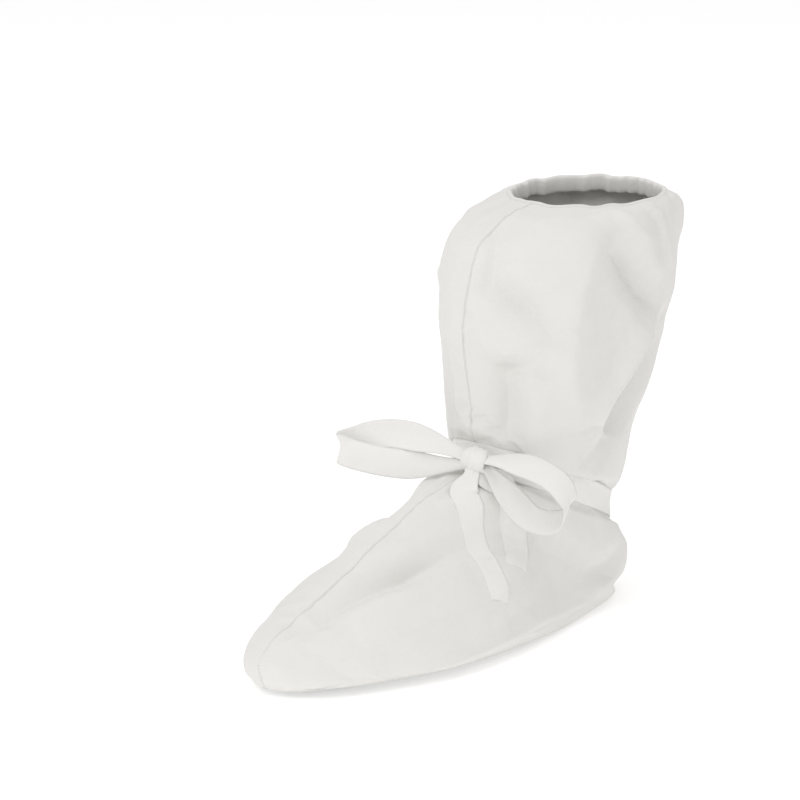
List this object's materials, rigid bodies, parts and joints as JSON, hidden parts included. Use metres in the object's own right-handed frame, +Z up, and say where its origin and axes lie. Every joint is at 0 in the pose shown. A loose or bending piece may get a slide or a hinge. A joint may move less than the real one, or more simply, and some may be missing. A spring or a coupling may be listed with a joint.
{
  "type": "shoe cover",
  "caption": "Tall white non-woven shoe cover in its worn shape, with seamed side panels, a flat sole, a gathered elastic hem and an ankle tie knotted in a bow at the front",
  "frame": {"origin": "on the underside of the sole, below the ankle", "axes": "the toe points to -Y, the outer side of the foot to +X, +Z is up out of the leg opening"},
  "size_m": [0.1524, 0.363, 0.2626],
  "materials": {
    "cloth": "matte white non-woven fabric",
    "sole_cloth": "matte white non-woven fabric",
    "ribbon": "soft white non-woven ribbon"
  },
  "bodies": {
    "root": {"outer_panel": "cloth", "inner_panel": "cloth", "sole": "sole_cloth", "elastic_hem": "cloth", "ankle_tie": "ribbon", "bow_knot": "ribbon", "inner_loop": "ribbon", "outer_loop": "ribbon", "short_tail": "ribbon", "long_tail": "ribbon"}
  },
  "joints": []
}
